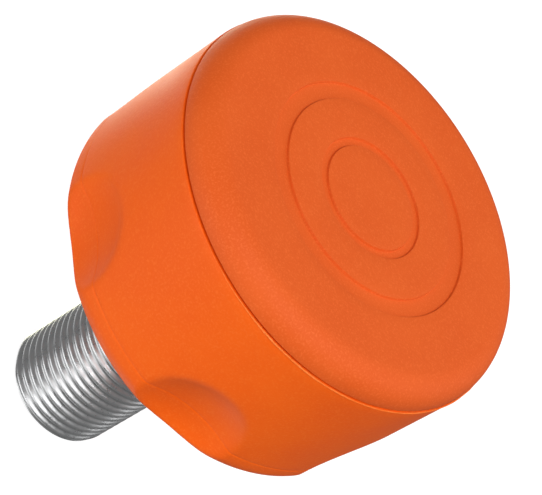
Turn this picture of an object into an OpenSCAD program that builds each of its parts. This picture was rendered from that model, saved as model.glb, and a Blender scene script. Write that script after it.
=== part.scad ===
// Screw-in bumper head of a carpet knee kicker: a moulded elastomer drum with a face pad,
// six finger dishes round its back edge, and a threaded steel stud anchored by a plate inside.
// The origin is on the axis at the drum's flat back face. +Z points to the face that the knee
// hits, and the stud points along -Z.

/* [Head] */
// Diameter of the head at its widest
head_d = 76; // [60:0.5:100]
// Length of the drum, from its back face to the seam
drum_h = 35; // [26:0.5:50]
// Thickness of the face pad, from the seam to the flat face
pad_h = 5.8; // [4:0.1:10]
// How far the pad's rim lies inside the drum's edge at the seam
seam_step = 0.2; // [0.1:0.05:0.6]

/* [Edges] */
// Rounding of the pad's front edge
face_edge_r = 5.2; // [2:0.1:8]
// Straight band left between the seam and the pad's rounding
pad_rim_h = 0.5; // [0.2:0.1:2]
// Rounding of the drum's back edge
back_edge_r = 5.4; // [2:0.1:9]

/* [Finger dishes] */
// Number of dishes round the drum
dish_count = 6; // [4:1:8]
// Radius of the ball that cuts one dish
dish_ball_r = 21; // [16:0.5:40]
// Depth of a dish at its middle
dish_depth = 3.8; // [1:0.1:5]
// Height of a dish's middle above the back face
dish_z = 6.2; // [3:0.1:12]
// Angle of the first dish about the axis
dish_turn = 30; // [0:1:60]

/* [Threaded stud] */
// Outer diameter of the thread
stud_d = 24; // [16:1:30]
// Pitch of the thread
thread_pitch = 2; // [1.5:0.1:3]
// Length of the thread behind the back face
stud_l = 48.5; // [30:0.5:80]
// Chamfer at the stud's free end
tip_chamfer = 1.8; // [1:0.1:3]
// Step from the thread up to the shank, which ends flush with the back face
shank_step = 0.5; // [0.3:0.1:2]
// Step from the thread down to the spigot that the plate sits on
spigot_step = 2; // [1:0.1:3]

/* [Anchor plate] */
// Thickness of the anchor plate
plate_t = 4; // [3:0.5:8]
// Elastomer between the back face and the plate
plate_z = 9; // [6:0.5:12]
// Elastomer left outside the plate's rim, at the deepest point of a dish
plate_cover = 6; // [4:0.5:10]
// Number of flow holes that key the elastomer to the plate
flow_hole_count = 6; // [3:1:8]
// Diameter of a flow hole
flow_hole_d = 7; // [4:0.5:9]
// Leg of the fillet weld between the spigot and the plate
weld_leg = 3; // [2:0.5:5]

/* [Face relief] */
// Depth of the two sunk rings in the face
relief_depth = 0.5; // [0.2:0.1:1]
// Width of a sunk ring's sloping side
relief_slope = 0.25; // [0.1:0.05:0.4]
// Width of the outer ring
outer_ring_w = 3.4; // [1:0.1:5]
// Width of the inner ring
inner_ring_w = 1.7; // [1:0.1:3]
// Flat band between the edge rounding and the outer ring
relief_margin = 10; // [5:0.5:12]
// Flat band between the two rings
relief_gap = 7.5; // [3:0.5:8]

/* [Hidden] */
$fn = 96;

head_r = head_d / 2;
pad_r = head_r - seam_step;
pad_edge_r = min(face_edge_r, pad_h - pad_rim_h);
face_z = drum_h + pad_h;
outer_ring_r = pad_r - pad_edge_r - relief_margin;
inner_ring_r = outer_ring_r - outer_ring_w - relief_gap;

stud_r = stud_d / 2;
thread_depth = 0.33 * thread_pitch;
crest_w = thread_pitch / 4;
flank_w = thread_depth * tan(30);
root_r = stud_r - thread_depth;
shank_r = stud_r + shank_step;
spigot_r = stud_r - spigot_step;

plate_r = head_r - dish_depth - plate_cover;
plate_top = plate_z + plate_t;
spigot_top = plate_top + weld_leg;
flow_circle_r = (spigot_r + weld_leg + plate_r) / 2;

// Half outline of a disc of radius r from z0 to z1, with its edge at z0 rounded by e
module rounded_half(r, z0, z1, e) {
    translate([0, z0])
        square([r - e, z1 - z0]);
    translate([0, z0 + e])
        square([r, z1 - z0 - e]);
    intersection() {
        translate([r - e, z0 + e])
            circle(e);
        translate([r - e, z0])
            square(e);
    }
}

// A shallow sunk ring of outer radius r and width w in the flat face, with sloping sides
module sunk_ring(r, w) {
    rotate_extrude()
        polygon([
            [r, face_z + 1],
            [r, face_z],
            [r - relief_slope, face_z - relief_depth],
            [r - w + relief_slope, face_z - relief_depth],
            [r - w, face_z],
            [r - w, face_z + 1]
        ]);
}

// Front pad that the knee hits, with two plain sunk rings in its face
module face_pad() {
    color("#E66830")
        difference() {
            translate([0, 0, face_z])
                mirror([0, 0, 1])
                    rotate_extrude()
                        rounded_half(pad_r, 0, pad_h, pad_edge_r);
            sunk_ring(outer_ring_r, outer_ring_w);
            sunk_ring(inner_ring_r, inner_ring_w);
        }
}

// Balls that hollow the finger dishes
module dish_balls() {
    for (i = [0 : dish_count - 1])
        rotate([0, 0, dish_turn + i * 360 / dish_count])
            translate([head_r + dish_ball_r - dish_depth, 0, dish_z])
                sphere(dish_ball_r);
}

// Drum moulded round the plate, its weld and the stud's shank
module drum() {
    color("#EC6728")
        difference() {
            rotate_extrude()
                rounded_half(head_r, 0, drum_h, back_edge_r);
            dish_balls();
            plate_body();
            weld_body();
            shank_body();
        }
}

// Steel disc with a hole for the spigot and holes that the elastomer flows through
module plate_body() {
    difference() {
        translate([0, 0, plate_z])
            cylinder(r = plate_r, h = plate_t);
        translate([0, 0, plate_z - 1])
            cylinder(r = spigot_r, h = plate_t + 2);
        for (i = [0 : flow_hole_count - 1])
            rotate([0, 0, i * 360 / flow_hole_count])
                translate([flow_circle_r, 0, plate_z - 1])
                    cylinder(d = flow_hole_d, h = plate_t + 2);
    }
}

module anchor_plate() {
    color("#8C8F92")
        plate_body();
}

// Part of the stud inside the drum: a plain shank, then the spigot through the plate
module shank_body() {
    cylinder(r = shank_r, h = plate_z);
    cylinder(r = spigot_r, h = spigot_top);
}

// Half outline of the threaded length, with a crest at the start of each pitch
module thread_half() {
    last_turn = floor(stud_l / thread_pitch) - 1;
    polygon(concat(
        [[0, -stud_l], [root_r, -stud_l]],
        [for (i = [last_turn : -1 : 0], p = [
            [root_r, -(i + 1) * thread_pitch + flank_w],
            [root_r, -i * thread_pitch - crest_w - flank_w],
            [stud_r, -i * thread_pitch - crest_w],
            [stud_r, -i * thread_pitch]
        ]) p],
        [[0, 0]]
    ));
}

// Stud that screws into the tool's tube
module threaded_stud() {
    color("#B9BCBF")
        union() {
            intersection() {
                rotate_extrude()
                    thread_half();
                translate([0, 0, -stud_l])
                    rotate_extrude()
                        polygon([
                            [0, 0],
                            [stud_r - tip_chamfer, 0],
                            [stud_r + 1, tip_chamfer + 1],
                            [stud_r + 1, stud_l + 1],
                            [0, stud_l + 1]
                        ]);
            }
            shank_body();
        }
}

// Fillet weld round the spigot, on the plate's front face
module weld_body() {
    rotate_extrude()
        polygon([
            [spigot_r, plate_top],
            [spigot_r + weld_leg, plate_top],
            [spigot_r, spigot_top]
        ]);
}

module weld_bead() {
    color("#6F6A66")
        weld_body();
}

face_pad();
drum();
anchor_plate();
threaded_stud();
weld_bead();
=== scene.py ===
"""Looks of the screw-in bumper head of a carpet knee kicker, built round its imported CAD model.

The head is a moulded elastomer drum with six finger dishes, a face pad, the moulding flash along
their seam, and a threaded steel stud that an anchor plate and its weld hold inside the drum.
Sizes in the classes are in millimetres, and meshes are in metres in the frame of the CAD model.
"""

from __future__ import annotations

import logging
import math
from collections.abc import Callable, Sequence
from dataclasses import dataclass
from enum import Enum
from functools import partial

import bmesh
import bpy
from mathutils import Euler, Matrix, Vector

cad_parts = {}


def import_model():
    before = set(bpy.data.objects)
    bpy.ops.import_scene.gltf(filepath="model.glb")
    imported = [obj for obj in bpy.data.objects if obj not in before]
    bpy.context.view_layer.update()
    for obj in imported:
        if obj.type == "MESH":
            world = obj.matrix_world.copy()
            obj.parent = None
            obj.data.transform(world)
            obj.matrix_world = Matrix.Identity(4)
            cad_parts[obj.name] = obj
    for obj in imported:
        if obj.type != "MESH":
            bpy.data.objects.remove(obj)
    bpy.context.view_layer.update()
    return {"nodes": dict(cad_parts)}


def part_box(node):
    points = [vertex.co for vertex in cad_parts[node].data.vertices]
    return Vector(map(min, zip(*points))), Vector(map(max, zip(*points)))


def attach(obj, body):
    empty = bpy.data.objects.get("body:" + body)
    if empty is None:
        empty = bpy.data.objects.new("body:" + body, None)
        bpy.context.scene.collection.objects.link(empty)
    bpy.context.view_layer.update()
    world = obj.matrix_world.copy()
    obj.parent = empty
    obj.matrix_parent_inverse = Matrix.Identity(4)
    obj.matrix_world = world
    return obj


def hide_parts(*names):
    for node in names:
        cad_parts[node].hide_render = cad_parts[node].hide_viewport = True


LOG = logging.getLogger("bumper_head")
MM = 0.001
TINY = 1e-6  # A length below this counts as nothing.
# Kinds of node that the trees use.
MATHS = "ShaderNodeMath"
VECTORS = "ShaderNodeVectorMath"
SPLIT = "ShaderNodeSeparateXYZ"
JOIN = "ShaderNodeCombineXYZ"
RANGE = "ShaderNodeMapRange"
MIX = "ShaderNodeMix"
NOISE = "ShaderNodeTexNoise"
COORDS = "ShaderNodeTexCoord"
BUMP = "ShaderNodeBump"
PRINCIPLED = "ShaderNodeBsdfPrincipled"
# Settings of a Mix node that mixes colours, and its colour output.
MIX_COLOURS = {"out": 2, "data_type": "RGBA"}

Point = tuple[float, float]
Input = float | int | tuple | bpy.types.NodeSocket | bpy.types.Material
Adder = Callable[..., bpy.types.NodeSocket]


class MaterialSlot(Enum):
    """Names of the record's material slots."""

    PAD = "pad_elastomer"
    DRUM = "drum_elastomer"
    STUD = "stud_steel"
    PLATE = "plate_steel"
    WELD = "weld_metal"


def linear(hex_colour: str) -> tuple[float, float, float, float]:
    """Turn an sRGB hex colour into a linear colour.

    Args:
        hex_colour: Six hex digits after a hash.

    Returns:
        Linear red, green and blue, with an alpha of one.
    """
    parts = [int(hex_colour[i : i + 2], 16) / 255 for i in (1, 3, 5)]
    bent = [c / 12.92 if c <= 0.04045 else ((c + 0.055) / 1.055) ** 2.4 for c in parts]
    return (bent[0], bent[1], bent[2], 1.0)


def per_metre(size_mm: float) -> float:
    """Texture scale on Object coordinates that makes one pattern cell size_mm wide."""
    return 1.0 / (size_mm * MM)


def add_node(
    tree: bpy.types.NodeTree,
    kind: str,
    inputs: dict[int | str, Input] | None = None,
    out: int | str = 0,
    **settings: object,
) -> bpy.types.NodeSocket:
    """Add one node with its settings, values and links.

    Inputs go by index where names repeat or run long. Those of a Map Range node are its value,
    the two ends that it comes from and the two that it goes to.

    Args:
        tree: Tree that the node goes into.
        kind: Blender's type name of the node.
        inputs: A value, or a socket to link from, for each input by index or name.
        out: Which output to return.
        settings: Properties of the node to set before its inputs.

    Returns:
        The chosen output, or the node's first input if it has no output.
    """
    node = tree.nodes.new(kind)
    for name, value in settings.items():
        setattr(node, name, value)
    for key, value in (inputs or {}).items():
        if isinstance(value, bpy.types.NodeSocket):
            tree.links.new(value, node.inputs[key])
        else:
            node.inputs[key].default_value = value
    return node.outputs[out] if len(node.outputs) else node.inputs[0]


@dataclass(frozen=True)
class Corner:
    """One corner of a half outline, in millimetres."""

    r: float  # Distance from the axis.
    z: float  # Height above the back face.
    rounding: float = 0.0  # Radius of the arc that rounds the corner.
    step: float = 1000.0  # Longest stretch of the straight run that ends at the corner.


def trace(corners: Sequence[Corner], arc_step: float = 1.0) -> list[Point]:
    """Walk a half outline with its corners rounded and its runs divided.

    Args:
        corners: Corners in order, from the bottom of the axis outwards and up.
        arc_step: Longest stretch along a rounding, in millimetres.

    Returns:
        Distances from the axis and heights, in millimetres.
    """
    points: list[Point] = []
    for i, corner in enumerate(corners):
        here = Vector((corner.r, corner.z))
        arc = [here]
        if corner.rounding > 0 and 0 < i < len(corners) - 1:
            before = (Vector((corners[i - 1].r, corners[i - 1].z)) - here).normalized()
            after = (Vector((corners[i + 1].r, corners[i + 1].z)) - here).normalized()
            half = before.angle(after) / 2
            middle = here + (before + after).normalized() * (corner.rounding / math.sin(half))
            start = here + before * (corner.rounding / math.tan(half)) - middle
            stop = here + after * (corner.rounding / math.tan(half)) - middle
            turn = start.angle(stop)
            count = max(3, math.ceil(corner.rounding * turn / arc_step))
            arc = [
                middle
                + (start * math.sin(turn * (1 - k / count)) + stop * math.sin(turn * k / count))
                / math.sin(turn)
                for k in range(count + 1)
            ]
        if points:
            last = Vector(points[-1])
            pieces = max(1, math.ceil((arc[0] - last).length / corner.step))
            points += [tuple(last.lerp(arc[0], k / pieces)) for k in range(1, pieces)]
        points += [tuple(p) for p in arc]
    return points


def revolve(points: Sequence[Point], columns: int) -> bmesh.types.BMesh:
    """Turn a half outline about the Z axis into a skin that faces outwards.

    Args:
        points: Distances from the axis and heights in millimetres, from the bottom outwards and up.
        columns: Number of steps round the axis.

    Returns:
        The skin in metres, closed at each end that lies on the axis.
    """
    skin = bmesh.new()
    rings: list[list[bmesh.types.BMVert]] = []
    for r, z in points:
        if r < TINY:
            rings.append([skin.verts.new((0, 0, z * MM))])
            continue
        turns = [2 * math.pi * c / columns for c in range(columns)]
        rings.append(
            [skin.verts.new((r * MM * math.cos(t), r * MM * math.sin(t), z * MM)) for t in turns]
        )
    for low, high in zip(rings, rings[1:]):
        for c in range(columns):
            loop = [low[c % len(low)], low[(c + 1) % len(low)]]
            loop += [high[(c + 1) % len(high)], high[c % len(high)]]
            unique = list(dict.fromkeys(loop))
            if len(unique) > 2:
                skin.faces.new(unique)
    return skin


def plain_object(skin: bmesh.types.BMesh, name: str) -> bpy.types.Object:
    """Put a skin into a new object at the origin and free the skin.

    Args:
        skin: Mesh under construction.
        name: Name of the object.

    Returns:
        The object, linked to the scene.
    """
    mesh = bpy.data.meshes.new(name)
    skin.to_mesh(mesh)
    skin.free()
    thing = bpy.data.objects.new(name, mesh)
    bpy.context.scene.collection.objects.link(thing)
    return thing


def settle(thing: bpy.types.Object) -> None:
    """Apply an object's modifiers to its mesh.

    Args:
        thing: Object whose evaluated shape becomes its plain mesh.
    """
    bpy.context.view_layer.update()
    graph = bpy.context.evaluated_depsgraph_get()
    shape = bpy.data.meshes.new_from_object(
        thing.evaluated_get(graph), preserve_all_data_layers=True, depsgraph=graph
    )
    shape.name = thing.name
    thing.modifiers.clear()
    thing.data = shape


def smooth(thing: bpy.types.Object, crease_deg: float) -> None:
    """Shade an object smooth, with a crease wherever it turns by more than crease_deg."""
    thing.data.shade_smooth()
    thing.data.set_sharp_from_angle(angle=math.radians(crease_deg))


def report(thing: bpy.types.Object) -> None:
    """Log a piece's name and its number of triangles."""
    faces = sum(len(p.vertices) - 2 for p in thing.data.polygons)
    LOG.info("%s: %d triangles", thing.name, faces)


def carve(thing: bpy.types.Object, tool: bpy.types.Object) -> None:
    """Cut a tool body out of an object, and remove the tool.

    Args:
        thing: Object to change.
        tool: Closed body to cut away.
    """
    cut = thing.modifiers.new("carve", "BOOLEAN")
    cut.operation, cut.solver, cut.object = "DIFFERENCE", "EXACT", tool
    settle(thing)
    bpy.data.objects.remove(tool)


class Recipe:
    """A geometry-node tree with named inputs, which is run once and leaves a plain mesh."""

    def __init__(self, name: str, values: dict[str, float | int | bpy.types.Material]) -> None:
        """Make the tree's sockets.

        Args:
            name: Name of the tree.
            values: Value of each named input. Its type sets the socket's type.
        """
        self.tree = bpy.data.node_groups.new(name, "GeometryNodeTree")
        face = self.tree.interface
        face.new_socket("Geometry", in_out="INPUT", socket_type="NodeSocketGeometry")
        face.new_socket("Geometry", in_out="OUTPUT", socket_type="NodeSocketGeometry")
        kinds = {float: "NodeSocketFloat", int: "NodeSocketInt"}
        self.values: dict[str, float | int | bpy.types.Material] = {}
        for label, value in values.items():
            kind = kinds.get(type(value), "NodeSocketMaterial")
            socket = face.new_socket(label, in_out="INPUT", socket_type=kind)
            self.values[socket.identifier] = value
        self.ports = self.tree.nodes.new("NodeGroupInput").outputs
        self.put: Adder = partial(add_node, self.tree)

    def finish(self, geometry: bpy.types.NodeSocket) -> None:
        """End the tree with real instances and the material of its Material input.

        Args:
            geometry: Socket that carries the finished shape.
        """
        real = self.put("GeometryNodeRealizeInstances", {"Geometry": geometry})
        worn = {"Geometry": real, "Material": self.ports["Material"]}
        self.put("NodeGroupOutput", {0: self.put("GeometryNodeSetMaterial", worn)})

    def run(self, thing: bpy.types.Object) -> None:
        """Run the tree on an object and keep the result as its plain mesh.

        Args:
            thing: Object whose mesh is the tree's geometry input.
        """
        modifier = thing.modifiers.new(self.tree.name, "NODES")
        modifier.node_group = self.tree
        for identifier, value in self.values.items():
            modifier[identifier] = value
        settle(thing)


@dataclass(frozen=True)
class Finish:
    """A finish that can be turned into a procedural material."""

    name: str

    def build(self) -> bpy.types.Material:
        """Make the material.

        Returns:
            A material whose nodes hold the finish.
        """
        made = bpy.data.materials.new(self.name)
        made.use_nodes = True
        made.node_tree.nodes.clear()
        put = partial(add_node, made.node_tree)
        put("ShaderNodeOutputMaterial", {"Surface": self.surface(put)})
        return made

    def surface(self, put: Adder) -> bpy.types.NodeSocket:
        """Put the finish's nodes into its tree and return the shader."""
        raise NotImplementedError


@dataclass(frozen=True)
class MouldedElastomer(Finish):
    """Thermoplastic elastomer, injection moulded against a spark-eroded steel mould.

    The pigment is even, and the skin is matt with a fine grain of shallow pits. The grain's drier
    crests are paler, and the flow of the melt leaves it a little cloudy and uneven in gloss.
    """

    base: str  # Main colour of the pigment.
    deep: str  # Colour where the pigment is a little denser.
    pale: str  # Colour where the skin is a little drier.
    roughness: Point = (0.5, 0.62)  # Roughness of the skin's smoothest and roughest patches.
    # Width of one grain of the mould's skin. The real 0.1 mm grain is drawn this coarse so that it
    # still shows.
    grain_mm: float = 0.42
    grain_depth_mm: float = 0.03  # Depth of the grain.
    pit_spacing: float = 1.7  # Spacing of the pits, in grains.
    pit_share: float = 0.6  # Height of the pits, as a share of the grain's.
    dryness: float = 0.6  # How far the driest grains turn to the pale colour.
    flow_mm: float = 18.0  # Width of the faint cloudiness left by the flow of the melt.
    specular: float = 0.2  # Specular level of the skin.

    def surface(self, put: Adder) -> bpy.types.NodeSocket:
        """Build the moulded skin.

        Args:
            put: Adds a node to the material's tree.

        Returns:
            The shader of the skin.
        """
        place = put(COORDS, out="Object")
        flow = put(
            NOISE,
            {"Vector": place, "Scale": per_metre(self.flow_mm), "Detail": 3.0, "Roughness": 0.55},
        )
        grain = put(
            NOISE,
            {"Vector": place, "Scale": per_metre(self.grain_mm), "Detail": 2.0, "Roughness": 0.6},
        )
        pits = put(
            "ShaderNodeTexVoronoi",
            {"Vector": place, "Scale": per_metre(self.grain_mm * self.pit_spacing)},
            out="Distance",
        )
        cloud = put(RANGE, {0: flow, 1: 0.38, 2: 0.66})
        body = put(MIX, {0: cloud, 6: linear(self.deep), 7: linear(self.base)}, **MIX_COLOURS)
        dry = put(RANGE, {0: grain, 1: 0.5, 2: 0.7, 4: self.dryness})
        colour = put(MIX, {0: dry, 6: body, 7: linear(self.pale)}, **MIX_COLOURS)
        smoothest, roughest = self.roughness
        rough = put(RANGE, {0: flow, 1: 0.3, 2: 0.7, 3: smoothest, 4: roughest})
        height = put(MATHS, {0: pits, 1: self.pit_share, 2: grain}, operation="MULTIPLY_ADD")
        bump = put(BUMP, {"Height": height, "Strength": 1.0, "Distance": self.grain_depth_mm * MM})
        return put(
            PRINCIPLED,
            {
                "Base Color": colour,
                "Roughness": rough,
                "Normal": bump,
                "Specular IOR Level": self.specular,
            },
        )


@dataclass(frozen=True)
class ZincPlatedSteel(Finish):
    """Carbon steel bar with a rolled thread and a bright clear zinc plating.

    The plating mirrors its surroundings softly. Rolling leaves fine lines that run along the
    thread, and the roots are painted darker than the crests: painted shade that stands in for the
    dark reflections down in the thread's hollows.
    """

    bright: str = "#C9CACB"  # Colour of the plated crests and flanks.
    painted_root_shade: str = "#6B6A68"  # Colour of the painted shade in the roots.
    roughness: Point = (0.24, 0.4)  # Roughness of the smoothest and roughest plating.
    line_mm: float = 0.18  # Spacing of the rolling lines, drawn coarser than the real 0.05 mm.
    line_stretch: float = 0.15  # Scale of the rolling lines across the axis, which draws them out.
    root_mm: float = 11.0  # Distance from the axis at which the painted root shade is full.
    crest_mm: float = 11.6  # Distance from the axis at which the painted root shade ends.
    nick_mm: float = 1.6  # Width of the dents on the crests.
    shade_jitter: float = 0.25  # How much the dents vary the painted root shade.
    relief_mm: float = 0.003  # Depth of the dents and lines.

    def surface(self, put: Adder) -> bpy.types.NodeSocket:
        """Build the plated steel.

        Args:
            put: Adds a node to the material's tree.

        Returns:
            The shader of the steel.
        """
        place = put(COORDS, out="Object")
        axes = put(SPLIT, {"Vector": place}).node.outputs
        flat = put(JOIN, {"X": axes["X"], "Y": axes["Y"]})
        radius = put(VECTORS, {0: flat}, out=1, operation="LENGTH")
        # Painted shade: the colour darkens from the crests down into the roots, standing in for the
        # shade in the thread's hollows.
        clean = put(RANGE, {0: radius, 1: self.root_mm * MM, 2: self.crest_mm * MM})
        stretch = (self.line_stretch, self.line_stretch, 1.0)
        stretched = put("ShaderNodeMapping", {"Vector": place, "Scale": stretch})
        lines = put(NOISE, {"Vector": stretched, "Scale": per_metre(self.line_mm), "Detail": 2.0})
        nicks = put(
            NOISE,
            {"Vector": place, "Scale": per_metre(self.nick_mm), "Detail": 2.0, "Roughness": 0.7},
        )
        root_shade_mix = put(
            MATHS, {0: nicks, 1: self.shade_jitter, 2: clean}, operation="MULTIPLY_ADD", use_clamp=True
        )
        colour = put(MIX, {0: root_shade_mix, 6: linear(self.painted_root_shade), 7: linear(self.bright)}, **MIX_COLOURS)
        smoothest, roughest = self.roughness
        rough = put(RANGE, {0: nicks, 1: 0.3, 2: 0.75, 3: smoothest, 4: roughest})
        dents = put(MATHS, {0: nicks, 1: lines}, operation="ADD")
        bump = put(BUMP, {"Height": dents, "Strength": 1.0, "Distance": self.relief_mm * MM})
        return put(
            PRINCIPLED, {"Base Color": colour, "Roughness": rough, "Normal": bump, "Metallic": 1.0}
        )


@dataclass(frozen=True)
class PlateSteel(Finish):
    """Hot-rolled structural steel plate, blanked and lightly oiled.

    A thin blue-grey scale with worn brighter patches, and a slight orange-peel surface.
    """

    scale_colour: str = "#5A5E63"  # Colour of the mill scale.
    worn_colour: str = "#85898D"  # Colour where the scale has worn thin.
    patch_mm: float = 7.0  # Width of a worn patch.
    peel_mm: float = 0.6  # Width of one bump of the orange peel.
    peel_depth_mm: float = 0.03  # Depth of the orange peel.
    roughness: Point = (0.62, 0.38)  # Roughness of the scale and of the worn patches.

    def surface(self, put: Adder) -> bpy.types.NodeSocket:
        """Build the plate's surface.

        Args:
            put: Adds a node to the material's tree.

        Returns:
            The shader of the plate.
        """
        place = put(COORDS, out="Object")
        patches = put(NOISE, {"Vector": place, "Scale": per_metre(self.patch_mm), "Detail": 6.0})
        worn = put(RANGE, {0: patches, 1: 0.45, 2: 0.62})
        colour = put(
            MIX, {0: worn, 6: linear(self.scale_colour), 7: linear(self.worn_colour)}, **MIX_COLOURS
        )
        peel = put(NOISE, {"Vector": place, "Scale": per_metre(self.peel_mm), "Detail": 4.0})
        bump = put(BUMP, {"Height": peel, "Strength": 1.0, "Distance": self.peel_depth_mm * MM})
        scale, worn_through = self.roughness
        rough = put(RANGE, {0: patches, 3: scale, 4: worn_through})
        return put(
            PRINCIPLED, {"Base Color": colour, "Roughness": rough, "Normal": bump, "Metallic": 0.9}
        )


@dataclass(frozen=True)
class WeldMetal(Finish):
    """Mild-steel weld metal laid in one pass round the spigot.

    Overlapping ripples run round the bead, with straw and blue heat tints beside them.
    """

    metal: str = "#8F8A84"  # Colour of the clean bead.
    tint: str = "#6B5F66"  # Colour of the heat tint.
    ripples: float = 60.0  # Number of ripples round the bead.
    ripple_depth_mm: float = 0.08  # Height of a ripple.
    heat_mm: float = 3.0  # Width of one patch of heat tint.
    roughness: Point = (0.35, 0.6)  # Roughness of the clean bead and where it is tinted.

    def surface(self, put: Adder) -> bpy.types.NodeSocket:
        """Build the bead's surface.

        Args:
            put: Adds a node to the material's tree.

        Returns:
            The shader of the bead.
        """
        place = put(COORDS, out="Object")
        axes = put(SPLIT, {"Vector": place}).node.outputs
        turn = put(MATHS, {0: axes["Y"], 1: axes["X"]}, operation="ARCTAN2")
        phase = put(MATHS, {0: turn, 1: self.ripples}, operation="MULTIPLY")
        ripple = put(MATHS, {0: phase}, operation="SINE")
        heat = put(NOISE, {"Vector": place, "Scale": per_metre(self.heat_mm), "Detail": 4.0})
        colour = put(MIX, {0: heat, 6: linear(self.metal), 7: linear(self.tint)}, **MIX_COLOURS)
        bump = put(BUMP, {"Height": ripple, "Strength": 1.0, "Distance": self.ripple_depth_mm * MM})
        clean, tinted = self.roughness
        rough = put(RANGE, {0: heat, 3: clean, 4: tinted})
        return put(
            PRINCIPLED, {"Base Color": colour, "Roughness": rough, "Normal": bump, "Metallic": 1.0}
        )


@dataclass(frozen=True)
class LitAcrylic(Finish):
    """White acrylic sheet lit from behind, which keeps the ground and the backdrop pale."""

    glow: float = 0.93  # Strength of the light that comes through the sheet.
    sheet: str = "#8A8A8A"  # Colour of the sheet.

    def surface(self, put: Adder) -> bpy.types.NodeSocket:
        """Build the sheet.

        Args:
            put: Adds a node to the material's tree.

        Returns:
            The shader of the sheet.
        """
        return put(
            PRINCIPLED,
            {
                "Base Color": linear(self.sheet),
                "Roughness": 0.9,
                "Specular IOR Level": 0.0,
                "Emission Color": linear("#FFFFFF"),
                "Emission Strength": self.glow,
            },
        )


@dataclass
class FacePad:
    """Front pad that the knee hits, with a rounded edge and two plain sunk rings."""

    finish: Finish  # Finish of the skin.
    edge_rounding: float = 5.3  # Rounding of the front edge.
    seam_rounding: float = 0.15  # Rounding of the rim's lower edge.
    # Width of the groove that the seam leaves between the pad and the drum.
    groove_width: float = 0.42
    groove_depth: float = 1.6  # Depth of that groove.
    ring_depth: float = 0.5  # Depth of the sunk rings.
    ring_slope: float = 0.15  # Width of a ring's sloping side.
    ring_edge: float = 0.08  # Rounding of the rings' edges.
    rings: tuple[Point, ...] = ((22.6, 3.4), (11.7, 1.7))  # Outer radius and width of each ring.
    flat_step: float = 3.0  # Longest step between rows on the face.
    arc_step: float = 0.45  # Longest step along a rounding.
    columns: int = 288  # Steps round the axis.
    crease_deg: float = 50.0  # Turn above which an edge stays sharp.

    def outline(self) -> list[Corner]:
        """Draw half of the pad's outline.

        Returns:
            Corners from the seam over the rim to the middle of the face.
        """
        low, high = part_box("face_pad")
        rim, seam, top = high.x / MM, low.z / MM, high.z / MM
        corners = [
            Corner(0, seam),
            Corner(rim - self.groove_depth, seam),
            Corner(rim - self.groove_depth, seam + self.groove_width),
            Corner(rim, seam + self.groove_width, self.seam_rounding),
            Corner(rim, top, self.edge_rounding),
        ]
        floor = top - self.ring_depth
        for outer, width in self.rings:
            inner = outer - width
            corners += [
                Corner(outer, top, self.ring_edge, self.flat_step),
                Corner(outer - self.ring_slope, floor, self.ring_edge),
                Corner(inner + self.ring_slope, floor, self.ring_edge),
                Corner(inner, top, self.ring_edge),
            ]
        return [*corners, Corner(0, top, 0, self.flat_step)]

    def build(self) -> bpy.types.Object:
        """Make the pad and let it stand for its CAD node.

        Returns:
            The pad.
        """
        skin = revolve(trace(self.outline(), self.arc_step), self.columns)
        pad = plain_object(skin, "bumper_face_pad")
        smooth(pad, self.crease_deg)
        pad.data.materials.append(self.finish.build())
        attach(pad, "root")
        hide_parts("face_pad")
        return pad


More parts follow.
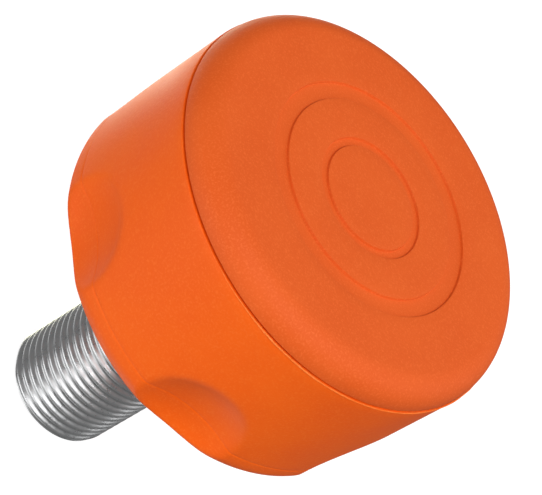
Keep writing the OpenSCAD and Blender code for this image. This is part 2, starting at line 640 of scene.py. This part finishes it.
@dataclass
class Drum:
    """Drum with finger dishes round its back edge, moulded round the plate, weld and shank."""

    finish: Finish  # Finish of the skin.
    back_rounding: float = 5.4  # Rounding of the back edge.
    front_rounding: float = 0.22  # Rounding of the edge at the seam.
    dish_count: int = 6  # Number of finger dishes.
    dish_ball: float = 21.0  # Radius of the ball that hollows a dish.
    dish_depth: float = 3.8  # Depth of a dish at its middle.
    dish_height: float = 6.2  # Height of a dish's middle above the back face.
    dish_turn_deg: float = 30.0  # Angle of the first dish about the axis.
    dish_softness: float = 1.3  # Softness of the edges of the dishes.
    line_height: float = 7.1  # Height of the line where the two mould halves met.
    line_width: float = 0.15  # Width of that line.
    line_depth: float = 0.09  # How far that line is sunk.
    # Rows of points beside that line, in half widths from its middle.
    line_rows: tuple[int, ...] = (-4, -2, -1, 0, 1, 2, 4)
    line_wander_mm: float = 6.0  # Length over which that line's depth wanders.
    shank: float = 12.5  # Radius of the hole for the stud's shank.
    spigot: float = 10.0  # Radius of the hole for the stud's spigot.
    plate: float = 28.2  # Radius of the pocket for the anchor plate.
    plate_low: float = 9.0  # Height of the plate's back face.
    plate_high: float = 13.0  # Height of the plate's front face.
    weld_leg: float = 3.0  # Leg of the fillet weld.
    key_count: int = 6  # Number of elastomer keys that fill the plate's flow holes.
    key_radius: float = 3.5  # Radius of a key.
    key_columns: int = 48  # Steps round a key.
    overlap: float = 2.0  # How far a cutting tool reaches past what it cuts.
    dish_top: float = 21.0  # Height that the dishes stay below.
    dish_step: float = 0.6  # Longest step between rows across the dishes.
    plain_step: float = 2.0  # Longest step between rows above them.
    margin: float = 2.0  # Distance from the side to the rows on the flat ends.
    arc_step: float = 0.55  # Longest step along a rounding.
    columns: int = 480  # Steps round the axis.
    pocket_columns: int = 96  # Steps round the pocket.
    crease_deg: float = 38.0  # Turn above which an edge stays sharp.

    def blank_outline(self) -> list[Corner]:
        """Draw half of the drum's outline before its dishes.

        Returns:
            Corners from the back face to the seam, with extra rows along the mould line.
        """
        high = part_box("drum")[1]
        side, top = high.x / MM, high.z / MM
        line = [
            Corner(side, self.line_height + k * self.line_width / 2, 0, self.dish_step)
            for k in self.line_rows
        ]
        return [
            Corner(0, 0),
            Corner(side - self.back_rounding - self.margin, 0),
            Corner(side, 0, self.back_rounding),
            *line,
            Corner(side, self.dish_top, 0, self.dish_step),
            Corner(side, top, self.front_rounding, self.plain_step),
            Corner(side - self.margin, top),
            Corner(0, top),
        ]

    def dish_recipe(self, skin: bpy.types.Material) -> Recipe:
        """Make the tree that hollows the finger dishes and sinks the mould line.

        Args:
            skin: Material of the drum.

        Returns:
            The recipe, ready to run on the blank.
        """
        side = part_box("drum")[1].x
        recipe = Recipe(
            "finger_dishes",
            {
                "Dish Count": self.dish_count,
                "Ball Radius": self.dish_ball * MM,
                "Ball Distance": side + (self.dish_ball - self.dish_depth) * MM,
                "Ball Height": self.dish_height * MM,
                "First Dish": math.radians(self.dish_turn_deg),
                "Edge Softness": self.dish_softness * MM,
                "Line Height": self.line_height * MM,
                "Line Width": self.line_width * MM,
                "Line Depth": self.line_depth * MM,
                "Material": skin,
            },
        )
        put, port = recipe.put, recipe.ports
        place = put("GeometryNodeInputPosition")
        axes = put(SPLIT, {"Vector": place}).node.outputs
        flat = put(JOIN, {"X": axes["X"], "Y": axes["Y"]})
        radius = put(VECTORS, {0: flat}, out=1, operation="LENGTH")
        # Fold the angle about the axis into one sector, with a dish in its middle.
        turn = put(MATHS, {0: axes["Y"], 1: axes["X"]}, operation="ARCTAN2")
        offset = put(MATHS, {0: turn, 1: port["First Dish"]}, operation="SUBTRACT")
        half = put(MATHS, {0: math.pi, 1: port["Dish Count"]}, operation="DIVIDE")
        minus = put(MATHS, {0: half, 1: -1.0}, operation="MULTIPLY")
        folded = put(MATHS, {0: offset, 1: half, 2: minus}, operation="WRAP")
        # Where the ray from the axis at that angle and height enters the ball.
        along = put(MATHS, {0: folded}, operation="COSINE")
        across = put(MATHS, {0: folded}, operation="SINE")
        along = put(MATHS, {0: along, 1: port["Ball Distance"]}, operation="MULTIPLY")
        across = put(MATHS, {0: across, 1: port["Ball Distance"]}, operation="MULTIPLY")
        rise = put(MATHS, {0: axes["Z"], 1: port["Ball Height"]}, operation="SUBTRACT")
        off = put(JOIN, {"X": across, "Y": rise})
        reach = put(VECTORS, {0: off, 1: off}, out=1, operation="DOT_PRODUCT")
        ball = put(MATHS, {0: port["Ball Radius"], 1: 2.0}, operation="POWER")
        room = put(MATHS, {0: ball, 1: reach}, operation="SUBTRACT")
        room = put(MATHS, {0: room, 1: 0.0}, operation="MAXIMUM")
        chord = put(MATHS, {0: room}, operation="SQRT")
        wall = put(MATHS, {0: along, 1: chord}, operation="SUBTRACT")
        hollow = put(MATHS, {0: radius, 1: wall, 2: port["Edge Softness"]}, operation="SMOOTH_MIN")
        # The mould line: a shallow bell-shaped groove whose depth wanders a little.
        above = put(MATHS, {0: axes["Z"], 1: port["Line Height"]}, operation="SUBTRACT")
        above = put(MATHS, {0: above, 1: port["Line Width"]}, operation="DIVIDE")
        bell = put(MATHS, {0: above, 1: 2.0}, operation="POWER")
        bell = put(MATHS, {0: bell, 1: -1.0}, operation="MULTIPLY")
        bell = put(MATHS, {0: bell}, operation="EXPONENT")
        wander = put(
            NOISE,
            {"Vector": flat, "W": 3.0, "Scale": per_metre(self.line_wander_mm), "Detail": 2.0},
            noise_dimensions="4D",
        )
        groove = put(MATHS, {0: bell, 1: wander}, operation="MULTIPLY")
        groove = put(MATHS, {0: groove, 1: port["Line Depth"]}, operation="MULTIPLY")
        skin_at = put(MATHS, {0: groove, 1: -2.0, 2: hollow}, operation="MULTIPLY_ADD")
        safe = put(MATHS, {0: radius, 1: TINY}, operation="MAXIMUM")
        share = put(MATHS, {0: skin_at, 1: safe}, operation="DIVIDE")
        moved = put(VECTORS, {0: flat, "Scale": share}, operation="SCALE")
        parts = put(SPLIT, {"Vector": moved}).node.outputs
        there = put(JOIN, {"X": parts["X"], "Y": parts["Y"], "Z": axes["Z"]})
        shaped = put("GeometryNodeSetPosition", {"Geometry": port["Geometry"], "Position": there})
        recipe.finish(shaped)
        return recipe

    def pocket(self) -> bpy.types.Object:
        """Body of the steel inside the drum, less the keys that fill the flow holes.

        Returns:
            A closed tool body.
        """
        outline = [
            Corner(0, -self.overlap),
            Corner(self.shank, -self.overlap),
            Corner(self.shank, self.plate_low),
            Corner(self.plate, self.plate_low),
            Corner(self.plate, self.plate_high),
            Corner(self.spigot + self.weld_leg, self.plate_high),
            Corner(self.spigot, self.plate_high + self.weld_leg),
            Corner(0, self.plate_high + self.weld_leg),
        ]
        body = plain_object(revolve(trace(outline), self.pocket_columns), "pocket")
        ring = (self.spigot + self.weld_leg + self.plate) / 2
        middle = (self.plate_low + self.plate_high) / 2
        keys = bmesh.new()
        for k in range(self.key_count):
            turn = 2 * math.pi * k / self.key_count
            place = (ring * math.cos(turn) * MM, ring * math.sin(turn) * MM, middle * MM)
            bmesh.ops.create_cone(
                keys,
                cap_ends=True,
                segments=self.key_columns,
                radius1=self.key_radius * MM,
                radius2=self.key_radius * MM,
                depth=(self.plate_high - self.plate_low + self.overlap) * MM,
                matrix=Matrix.Translation(place),
            )
        carve(body, plain_object(keys, "keys"))
        return body

    def build(self) -> bpy.types.Object:
        """Make the drum and let it stand for its CAD node.

        Returns:
            The drum.
        """
        skin = self.finish.build()
        blank = revolve(trace(self.blank_outline(), self.arc_step), self.columns)
        drum = plain_object(blank, "bumper_drum")
        self.dish_recipe(skin).run(drum)
        carve(drum, self.pocket())
        smooth(drum, self.crease_deg)
        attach(drum, "root")
        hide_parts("drum")
        return drum


@dataclass
class SeamFlash:
    """Thin ragged fin of elastomer that the mould leaves along the drum's front edge."""

    finish: Finish  # Finish of the fin.
    inset: float = 0.04  # How far the fin's middle lies inside the drum's edge.
    thickness: float = 0.26  # Thickness of the fin where it is strongest.
    wander: float = 0.19  # How far the fin strays from its line.
    lumps_mm: float = 4.0  # Length of one stray along the seam.
    heavy_side_deg: float = 135.0  # Bearing of the side where the fin is strongest.
    faint: float = 0.1  # Share of the fin that is left on the other side.
    ragged: Point = (0.4, 0.75)  # Least and greatest scale of the fin's section.
    seed: float = 7.0  # Seed of the raggedness.
    columns: int = 720  # Steps round the axis.
    sides: int = 6  # Sides of the fin's section.

    def build(self) -> bpy.types.Object:
        """Make the fin along the seam.

        Returns:
            The fin.
        """
        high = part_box("drum")[1]
        recipe = Recipe(
            "seam_flash",
            {
                "Seam Radius": high.x - self.inset * MM,
                "Seam Height": high.z,
                "Thickness": self.thickness * MM,
                "Wander": self.wander * MM,
                "Seed": self.seed,
                "Heavy Side": math.radians(self.heavy_side_deg),
                "Material": self.finish.build(),
            },
        )
        put, port = recipe.put, recipe.ports
        circle = "GeometryNodeCurvePrimitiveCircle"
        seam = put(circle, {"Resolution": self.columns, "Radius": port["Seam Radius"]})
        place = put("GeometryNodeInputPosition")
        stray = put(
            NOISE,
            {"Vector": place, "W": port["Seed"], "Scale": per_metre(self.lumps_mm), "Detail": 3.0},
            noise_dimensions="4D",
        )
        centred = put(MATHS, {0: stray, 1: 0.5}, operation="SUBTRACT")
        shift = put(MATHS, {0: centred, 1: port["Wander"]}, operation="MULTIPLY")
        shift = put(MATHS, {0: shift, 1: 2.0}, operation="MULTIPLY")
        height = put(MATHS, {0: shift, 1: port["Seam Height"]}, operation="ADD")
        lift = put(JOIN, {"Z": height})
        strayed = put("GeometryNodeSetPosition", {"Geometry": seam, "Offset": lift})
        section = put(circle, {"Resolution": self.sides, "Radius": port["Thickness"]})
        thin = put(RANGE, {0: stray, 1: 0.3, 2: 0.7, 3: self.ragged[0], 4: self.ragged[1]})
        # The fin is strong on one side of the mould and fades to a thread on the other.
        axes = put(SPLIT, {"Vector": place}).node.outputs
        turn = put(MATHS, {0: axes["Y"], 1: axes["X"]}, operation="ARCTAN2")
        turn = put(MATHS, {0: turn, 1: port["Heavy Side"]}, operation="SUBTRACT")
        near = put(MATHS, {0: turn}, operation="COSINE")
        strong = put(RANGE, {0: near, 1: 0.1, 2: 0.6, 3: self.faint})
        thin = put(MATHS, {0: thin, 1: strong}, operation="MULTIPLY")
        fin = put(
            "GeometryNodeCurveToMesh", {"Curve": strayed, "Profile Curve": section, "Scale": thin}
        )
        recipe.finish(fin)
        flash = plain_object(bmesh.new(), "seam_flash")
        recipe.run(flash)
        flash.data.shade_smooth()
        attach(flash, "root")
        return flash


@dataclass
class ThreadedStud:
    """Stud with a true helical thread, its shank, and the spigot that the plate sits on."""

    finish: Finish  # Finish of the steel.
    pitch: float = 2.0  # Pitch of the thread.
    depth: float = 0.66  # Depth of the thread.
    # Share of the pitch from the back face to the middle of the first crest.
    crest_lead: float = 0.125
    chamfer: float = 1.8  # Chamfer at the free end.
    major: float = 12.0  # Radius of the thread's crests.
    shank: float = 12.5  # Radius of the shank.
    spigot: float = 10.0  # Radius of the spigot.
    shoulder: float = 9.0  # Height of the shank's shoulder above the back face.
    edge_break: float = 0.25  # Small chamfer on the shank where it meets the back face.
    end_band: float = 0.15  # Width of the narrow band round the free end's flat face.
    pole: float = 0.01  # Radius at which an end closes into its middle.
    merge: float = 0.002  # Distance within which points of the thread become one.
    sliver: float = 0.0001  # Length below which an edge of the thread is dropped.
    columns: int = 144  # Steps round the axis.
    rows_per_pitch: int = 16  # Rows along one pitch.
    crease_deg: float = 42.0  # Turn above which an edge stays sharp.

    def thread_recipe(self, steel: bpy.types.Material, length: float) -> Recipe:
        """Make the tree for the threaded length, a tube whose rows follow the helix.

        Args:
            steel: Material of the stud.
            length: Threaded length in millimetres.

        Returns:
            The recipe, which needs no input geometry.
        """
        turns = math.ceil(length / self.pitch) + 1
        recipe = Recipe(
            "rolled_thread",
            {
                "Crest Radius": self.major * MM,
                "Thread Depth": self.depth * MM,
                "Pitch": self.pitch * MM,
                "Length": length * MM,
                "Turns": turns,
                "Columns": self.columns + 1,
                "Rows": turns * self.rows_per_pitch + 1,
                "Crest Lead": self.crest_lead,
                "Chamfer": self.chamfer * MM,
                "Material": steel,
            },
        )
        put, port = recipe.put, recipe.ports
        sheet = put(
            "GeometryNodeMeshGrid",
            {
                "Size X": 1.0,
                "Size Y": 1.0,
                "Vertices X": port["Columns"],
                "Vertices Y": port["Rows"],
            },
        )
        place = put("GeometryNodeInputPosition")
        axes = put(SPLIT, {"Vector": place}).node.outputs
        turn = put(MATHS, {0: axes["X"], 1: 0.5}, operation="ADD")
        row = put(MATHS, {0: axes["Y"], 1: 0.5}, operation="ADD")
        row = put(MATHS, {0: row, 1: port["Turns"]}, operation="MULTIPLY")
        # Each row drops along the helix, and is held between the two ends of the thread.
        drop = put(MATHS, {0: turn, 1: row}, operation="SUBTRACT")
        drop = put(MATHS, {0: drop, 1: port["Pitch"]}, operation="MULTIPLY")
        end = put(MATHS, {0: port["Length"], 1: -1.0}, operation="MULTIPLY")
        height = put(MATHS, {0: drop, 1: 0.0}, operation="MINIMUM")
        height = put(MATHS, {0: height, 1: end}, operation="MAXIMUM")
        # A rolled thread is one smooth wave from crest to root.
        turned = put(MATHS, {0: height, 1: port["Pitch"]}, operation="DIVIDE")
        phase = put(MATHS, {0: turn, 1: turned}, operation="SUBTRACT")
        phase = put(MATHS, {0: phase, 1: port["Crest Lead"]}, operation="SUBTRACT")
        phase = put(MATHS, {0: phase, 1: 2 * math.pi}, operation="MULTIPLY")
        wave = put(MATHS, {0: phase}, operation="COSINE")
        fall = put(MATHS, {0: wave, 1: -0.5, 2: 0.5}, operation="MULTIPLY_ADD")
        cut = put(MATHS, {0: fall, 1: port["Thread Depth"]}, operation="MULTIPLY")
        radius = put(MATHS, {0: port["Crest Radius"], 1: cut}, operation="SUBTRACT")
        # The free end's chamfer trims the last turns.
        rise = put(MATHS, {0: height, 1: port["Length"]}, operation="ADD")
        cone = put(MATHS, {0: port["Crest Radius"], 1: port["Chamfer"]}, operation="SUBTRACT")
        cone = put(MATHS, {0: cone, 1: rise}, operation="ADD")
        radius = put(MATHS, {0: radius, 1: cone}, operation="MINIMUM")
        angle = put(MATHS, {0: turn, 1: 2 * math.pi}, operation="MULTIPLY")
        cosine = put(MATHS, {0: angle}, operation="COSINE")
        sine = put(MATHS, {0: angle}, operation="SINE")
        east = put(MATHS, {0: cosine, 1: radius}, operation="MULTIPLY")
        north = put(MATHS, {0: sine, 1: radius}, operation="MULTIPLY")
        there = put(JOIN, {"X": east, "Y": north, "Z": height})
        tube = put("GeometryNodeSetPosition", {"Geometry": sheet, "Position": there})
        closed = put("GeometryNodeMergeByDistance", {"Geometry": tube, "Distance": self.merge * MM})
        recipe.finish(closed)
        return recipe

    @staticmethod
    def grow(
        skin: bmesh.types.BMesh, edges: list[bmesh.types.BMEdge], rings: Sequence[Point]
    ) -> None:
        """Carry an open end on through rings about the axis, and close it at the last one.

        Args:
            skin: Skin with the open end.
            edges: Edges of the open end.
            rings: Distance from the axis and height of each ring in millimetres.
        """
        for r, z in rings:
            made = bmesh.ops.extrude_edge_only(skin, edges=edges)["geom"]
            edges = [e for e in made if isinstance(e, bmesh.types.BMEdge)]
            for vert in [v for v in made if isinstance(v, bmesh.types.BMVert)]:
                out = Vector((vert.co.x, vert.co.y)).normalized() * r * MM
                vert.co = (out.x, out.y, z * MM)
        verts = list(dict.fromkeys(v for e in edges for v in e.verts))
        bmesh.ops.pointmerge(skin, verts=verts, merge_co=(0, 0, rings[-1][1] * MM))

    def build(self) -> bpy.types.Object:
        """Make the stud and let it stand for its CAD node.

        Returns:
            The stud.
        """
        low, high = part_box("threaded_stud")
        length, top = -low.z / MM, high.z / MM
        steel = self.finish.build()
        stud = plain_object(bmesh.new(), "threaded_stud_bar")
        self.thread_recipe(steel, length).run(stud)
        skin = bmesh.new()
        skin.from_mesh(stud.data)
        bmesh.ops.dissolve_degenerate(skin, dist=self.sliver * MM, edges=skin.edges)
        rim = [e for e in skin.edges if e.is_boundary]
        front = [e for e in rim if all(v.co.z > -TINY for v in e.verts)]
        back = [e for e in rim if all(v.co.z < low.z + TINY for v in e.verts)]
        inside = [
            (self.shank - self.edge_break, 0),
            (self.shank, self.edge_break),
            (self.shank, self.shoulder),
            (self.spigot, self.shoulder),
            (self.spigot, top),
            (self.pole, top),
        ]
        self.grow(skin, front, inside)
        inner = self.major - self.chamfer
        self.grow(skin, back, [(r, -length) for r in (inner - self.end_band, inner / 2, self.pole)])
        bmesh.ops.recalc_face_normals(skin, faces=skin.faces)
        skin.to_mesh(stud.data)
        skin.free()
        smooth(stud, self.crease_deg)
        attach(stud, "root")
        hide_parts("threaded_stud")
        return stud


@dataclass
class Anchor:
    """Anchor plate and its weld, which keep the CAD shapes and get their own finishes."""

    plate_finish: Finish  # Finish of the plate.
    weld_finish: Finish  # Finish of the weld.
    nodes: dict[str, bpy.types.Object]  # CAD nodes by name.

    def dress(self) -> None:
        """Give the two CAD nodes their materials."""
        for name, finish in (("anchor_plate", self.plate_finish), ("weld_bead", self.weld_finish)):
            node = self.nodes[name]
            node.data.materials.clear()
            node.data.materials.append(finish.build())
            report(node)


@dataclass(frozen=True)
class Viewpoint:
    """Where the camera stands, in the frame of the head."""

    # Point that the camera looks at, in millimetres.
    aim: tuple[float, float, float] = (5.6, 7.7, 23.4)
    distance: float = 432.6  # Distance from that point, in millimetres.
    azimuth_deg: float = 64.32  # Bearing of the camera about the axis.
    elevation_deg: float = 38.91  # Height of the camera above the level of the back face.
    roll_deg: float = 58.43  # Turn of the camera about its line of sight.
    lens: float = 163.9  # Focal length in millimetres.
    sensor: float = 36.0  # Width of the sensor in millimetres.
    clip: Point = (0.01, 20.0)  # Nearest and farthest distance in view, in metres.

    def axes(self) -> Matrix:
        """Work out how the camera is turned.

        Returns:
            Rotation whose columns are the camera's right, up and backward directions.
        """
        azimuth, elevation = math.radians(self.azimuth_deg), math.radians(self.elevation_deg)
        level = Euler((math.pi / 2 - elevation, 0, azimuth + math.pi / 2), "XYZ").to_matrix()
        return level @ Matrix.Rotation(math.radians(self.roll_deg), 3, "Z")

    def point(self, right: float, up: float, back: float) -> Vector:
        """Point at that offset from the aim along the camera's own axes, in metres."""
        return Vector(self.aim) * MM + self.axes() @ Vector((right, up, back))

    def build(self) -> None:
        """Make the camera and choose it for the scene."""
        camera = bpy.data.objects.new("camera", bpy.data.cameras.new("camera"))
        bpy.context.scene.collection.objects.link(camera)
        camera.data.lens, camera.data.sensor_width = self.lens, self.sensor
        camera.data.clip_start, camera.data.clip_end = self.clip
        place = self.axes().to_4x4()
        place.translation = self.point(0, 0, self.distance * MM)
        camera.matrix_world = place
        bpy.context.scene.camera = camera


@dataclass(frozen=True)
class Softbox:
    """One square soft light that faces the head."""

    name: str  # What the light does.
    right: float  # Its direction's part to the camera's right.
    up: float  # Its direction's part up.
    back: float  # Its direction's part towards the camera.
    power: float  # Power in watts.
    size: float = 0.66  # Side in metres.
    distance: float = 1.2  # Distance from the head in metres.
    colour: str = "#FFFFFF"  # Colour of the light.

    def build(self, viewpoint: Viewpoint) -> None:
        """Hang the light.

        Args:
            viewpoint: Viewpoint whose axes the direction is given in.
        """
        lamp = bpy.data.lights.new(self.name, "AREA")
        lamp.shape, lamp.size, lamp.energy = "SQUARE", self.size, self.power
        lamp.color = linear(self.colour)[:3]
        light = bpy.data.objects.new(self.name, lamp)
        bpy.context.scene.collection.objects.link(light)
        out = Vector((self.right, self.up, self.back)).normalized() * self.distance
        light.location = viewpoint.point(*out)
        inwards = light.location - viewpoint.point(0, 0, 0)
        light.rotation_euler = inwards.to_track_quat("Z", "Y").to_euler()


@dataclass(frozen=True)
class Studio:
    """Pale lit floor that rises into a round backdrop, soft lights and an even surround."""

    viewpoint: Viewpoint  # Viewpoint that the lights are placed from.
    surround: float = 0.22  # Strength of the surround.
    radius: float = 2400.0  # Radius of the backdrop in millimetres.
    height: float = 2400.0  # Height of the backdrop in millimetres.
    bend: float = 800.0  # Radius of the bend between floor and backdrop in millimetres.
    gap: float = 0.5  # Gap between the stud's free end and the floor in millimetres.
    arc_step: float = 60.0  # Longest step along the bend in millimetres.
    columns: int = 96  # Steps round the backdrop.
    # The lights: the part of each direction to the right, up and back, and the power.
    boxes: tuple[Softbox, ...] = (
        Softbox("front_right", 0.53, 0.0, 0.85, 8.9),
        Softbox("front", 0.0, 0.0, 1.0, 2.8),
        Softbox("left", -0.85, 0.0, 0.53, 7.4, size=1.1),
        Softbox("right_low", 0.95, -0.31, 0.0, 2.7),
        Softbox("right_high", 0.95, 0.31, 0.0, 1.4),
        Softbox("rim", -0.16, 0.5, -0.85, 8.0, colour="#FAF8DC"),
        Softbox("back_left", -0.69, 0.5, -0.53, 1.2),
        Softbox("table_glow", -0.69, -0.5, -0.53, 2.2),
    )

    def floor(self) -> None:
        """Make the floor just below the stud's free end, with its backdrop."""
        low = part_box("threaded_stud")[0].z / MM - self.gap
        corners = [
            Corner(0, low),
            Corner(self.radius, low, self.bend),
            Corner(self.radius, self.height, self.bend),
            Corner(0, self.height),
        ]
        skin = revolve(trace(corners, self.arc_step), self.columns)
        floor = plain_object(skin, "lit_floor")
        floor.data.materials.append(LitAcrylic("lit_acrylic").build())
        # The floor only shows: the surround stands for its light on the head.
        floor.visible_diffuse = floor.visible_glossy = floor.visible_shadow = False

    def build(self) -> None:
        """Lay the floor, hang the lights and set the surround."""
        self.floor()
        for box in self.boxes:
            box.build(self.viewpoint)
        world = bpy.data.worlds.new("surround")
        bpy.context.scene.world = world
        world.use_nodes = True
        world.node_tree.nodes.clear()
        put = partial(add_node, world.node_tree)
        glow = put("ShaderNodeBackground", {"Color": linear("#FFFFFF"), "Strength": self.surround})
        put("ShaderNodeOutputWorld", {"Surface": glow})
        bpy.context.scene.view_settings.view_transform = "Standard"


def main() -> None:
    """Build the head's pieces in order, then the camera and the studio."""
    logging.basicConfig(level=logging.INFO, format="%(name)s %(message)s")
    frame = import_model()
    drum_skin = MouldedElastomer(
        "moulded_elastomer_drum", base="#FB6509", deep="#F75F06", pale="#FD7324"
    )
    pad_skin = MouldedElastomer(
        "moulded_elastomer_pad",
        base="#E55F1F",
        deep="#E15A1A",
        pale="#EF7133",
        roughness=(0.56, 0.68),
        grain_mm=0.36,
    )
    report(Drum(drum_skin).build())
    report(FacePad(pad_skin).build())
    # Painted highlight: the fin gets a paler copy of the elastomer, so the seam shows a bright line
    # where the fin's edge catches the light.
    flash_highlight_skin = MouldedElastomer(
        "moulded_elastomer_flash_highlight", base="#FF8030", deep="#FC7420", pale="#FF9A55"
    )
    report(SeamFlash(flash_highlight_skin).build())
    report(ThreadedStud(ZincPlatedSteel("zinc_plated_steel")).build())
    plate, weld = PlateSteel("hot_rolled_plate_steel"), WeldMetal("weld_metal_bead")
    Anchor(plate, weld, frame["nodes"]).dress()
    viewpoint = Viewpoint()
    viewpoint.build()
    Studio(viewpoint).build()


if __name__ == "__main__":
    main()
